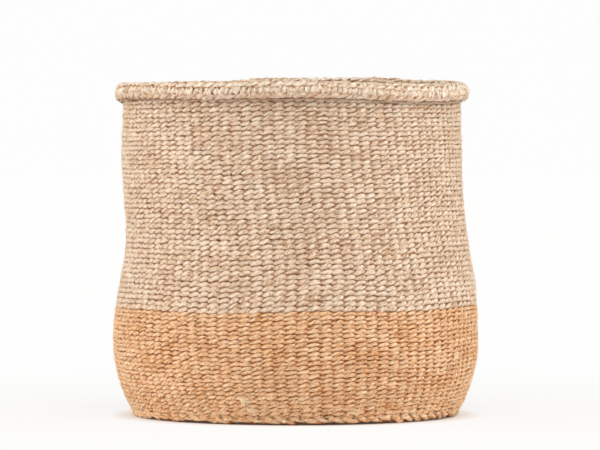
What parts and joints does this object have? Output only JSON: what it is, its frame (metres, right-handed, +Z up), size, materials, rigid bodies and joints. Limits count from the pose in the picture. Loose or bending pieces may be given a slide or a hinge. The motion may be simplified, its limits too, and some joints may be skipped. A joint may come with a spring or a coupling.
{
  "type": "woven storage basket",
  "caption": "Round open storage basket in twined sisal cord, ochre below and undyed above, with a softly bellied wall and a turned-over bound rim.",
  "frame": {"origin": "on the floor under the middle of the belly, which is the middle of the bounding box's lower face", "axes": "+Z up through the open mouth, +X to the right and -Y towards the viewer of the front"},
  "size_m": [0.255, 0.255, 0.2367],
  "materials": {
    "dyed_sisal": "ochre-dyed sisal cord, matt, with pale and dark fibres",
    "natural_sisal": "undyed sisal cord, matt, straw beige with pale fibres",
    "warp_sisal": "undyed sisal warp cord, a little paler than the weft"
  },
  "bodies": {
    "root": {"start_knot": "dyed_sisal", "base_weft": "dyed_sisal", "heel_course": "dyed_sisal", "lower_wall_weft": "dyed_sisal", "upper_wall_weft": "natural_sisal", "crown_course": "natural_sisal", "turned_warps": "warp_sisal", "edge_course": "natural_sisal", "tucked_warp_ends": "warp_sisal"}
  },
  "joints": []
}
